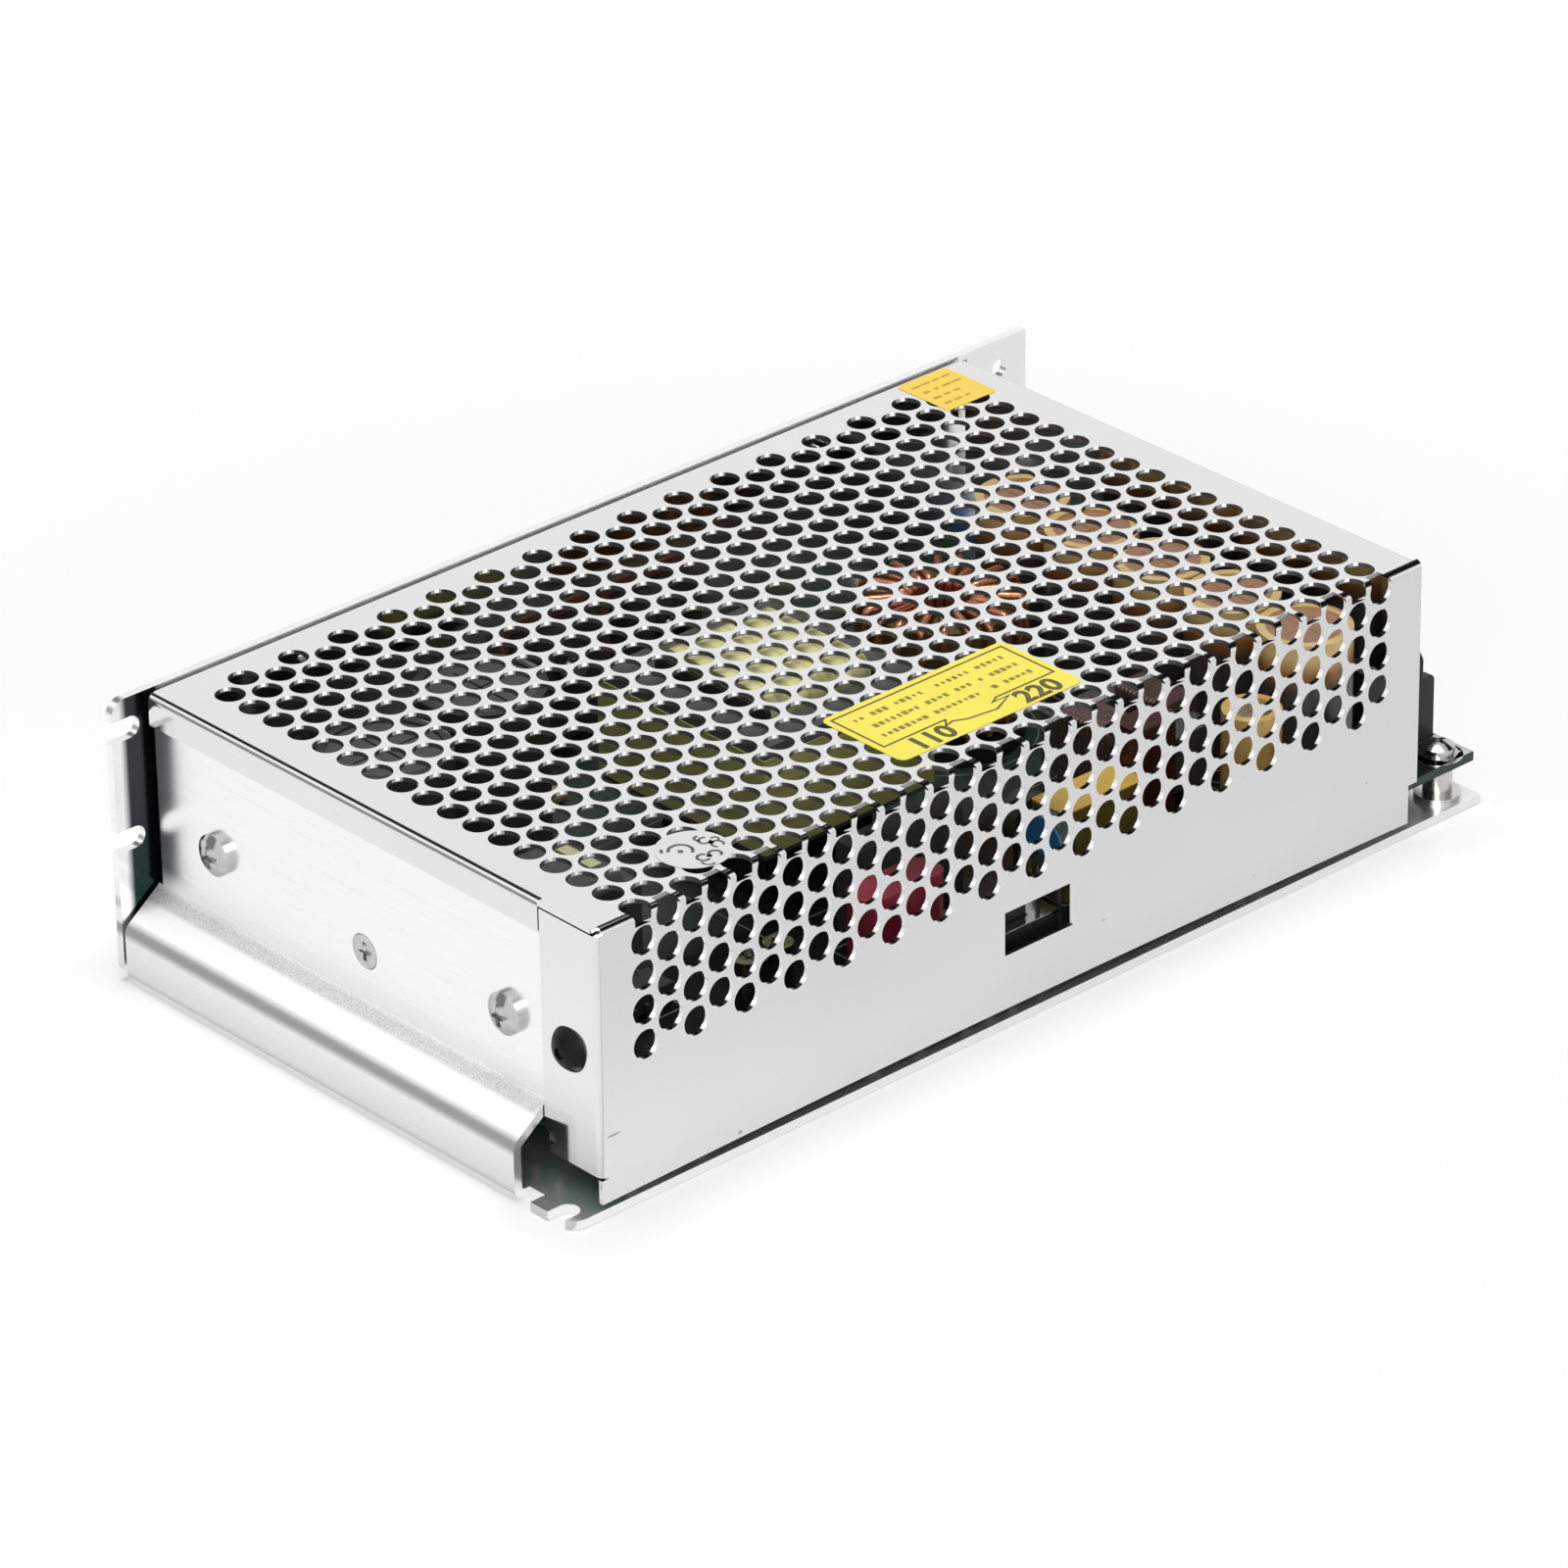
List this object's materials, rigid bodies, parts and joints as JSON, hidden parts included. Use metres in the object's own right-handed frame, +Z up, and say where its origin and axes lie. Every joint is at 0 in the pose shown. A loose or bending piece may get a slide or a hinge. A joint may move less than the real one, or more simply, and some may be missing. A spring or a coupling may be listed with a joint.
{
  "type": "enclosed switching power supply",
  "caption": "Low metal-cased switching power supply with a perforated folded cover, a jogged end wall, barrier screw terminals and a recessed slide selector.",
  "frame": {"origin": "centre of the bounding box on the underside of the base", "axes": "+X towards the screw terminals, -Y towards the long perforated side, +Y the solid side wall, +Z up through the perforated top"},
  "size_m": [0.2, 0.11, 0.0501],
  "materials": {
    "chassis_metal": "satin rolled sheet",
    "cover_metal": "bright plated sheet",
    "screw_metal": "plated",
    "post_metal": "nickel plated",
    "contact_metal": "tinned",
    "black_plastic": "moulded",
    "board_green": "solder resist",
    "ferrite": "sintered",
    "tape_yellow": "wound tape",
    "copper_wire": "enamelled",
    "iron_powder": "painted",
    "sleeve_black": "shrunk sleeve",
    "sleeve_bronze": "shrunk sleeve",
    "sleeve_gold": "shrunk sleeve",
    "film_yellow": "moulded",
    "dip_maroon": "dipped",
    "disc_blue": "dipped",
    "disc_green": "dipped",
    "pad_brown": "sheet",
    "fuse_glass": "clear",
    "lamp_green": "tinted",
    "trimmer_blue": "moulded",
    "trimmer_white": "moulded",
    "resistor_tan": "coated",
    "label_yellow": "coated",
    "sticker_white": "coated"
  },
  "bodies": {
    "housing": {"chassis": "chassis_metal", "cover": "cover_metal", "cover_rivet": "black_plastic", "cover_screws": "screw_metal", "end_pan_screws": "screw_metal", "end_flat_screw": "screw_metal", "side_flat_screws": "screw_metal", "power_nuts": "screw_metal", "circuit_board": "board_green", "board_standoffs": "post_metal", "board_washers": "screw_metal", "board_screws": "screw_metal", "terminal_block": "black_plastic", "terminal_contacts": "contact_metal", "terminal_clamps": "screw_metal", "terminal_screws": "screw_metal", "selector_body": "black_plastic", "selector_frame": "screw_metal", "trimmer_body": "trimmer_blue", "indicator_lamp": "lamp_green", "transformer_core": "ferrite", "transformer_winding": "tape_yellow", "transformer_bobbin": "black_plastic", "transformer_belt": "tape_yellow", "driver_core": "ferrite", "driver_winding": "tape_yellow", "inductor_core": "iron_powder", "inductor_winding": "copper_wire", "inductor_base": "black_plastic", "bulk_capacitors": "sleeve_black", "output_capacitors": "sleeve_bronze", "small_capacitors": "sleeve_gold", "film_capacitor": "film_yellow", "dipped_capacitors": "dip_maroon", "disc_capacitor": "disc_blue", "bridge_rectifier": "black_plastic", "end_rectifiers": "black_plastic", "end_regulator": "black_plastic", "side_transistors": "black_plastic", "insulating_pads": "pad_brown", "choke_core": "ferrite", "choke_winding": "copper_wire", "fuse_tube": "fuse_glass", "fuse_caps": "screw_metal", "fuse_clips": "contact_metal", "thermistor": "disc_green", "control_chip": "black_plastic", "resistors": "resistor_tan", "selector_label": "label_yellow", "corner_label": "label_yellow", "round_sticker": "sticker_white"},
    "selector": {"selector_slider": "black_plastic"},
    "trimmer": {"trimmer_rotor": "trimmer_white"}
  },
  "joints": [
    {"name": "selector_slide", "type": "slide", "parent": "housing", "child": "selector", "axis": [1, 0, 0], "range_m": [-0.0044, 0]},
    {"name": "trimmer_turn", "type": "hinge", "parent": "housing", "child": "trimmer", "pos_m": [0.0951, 0.0475, 0.012], "axis": [0, 0, 1], "range_deg": [-130, 130]}
  ]
}
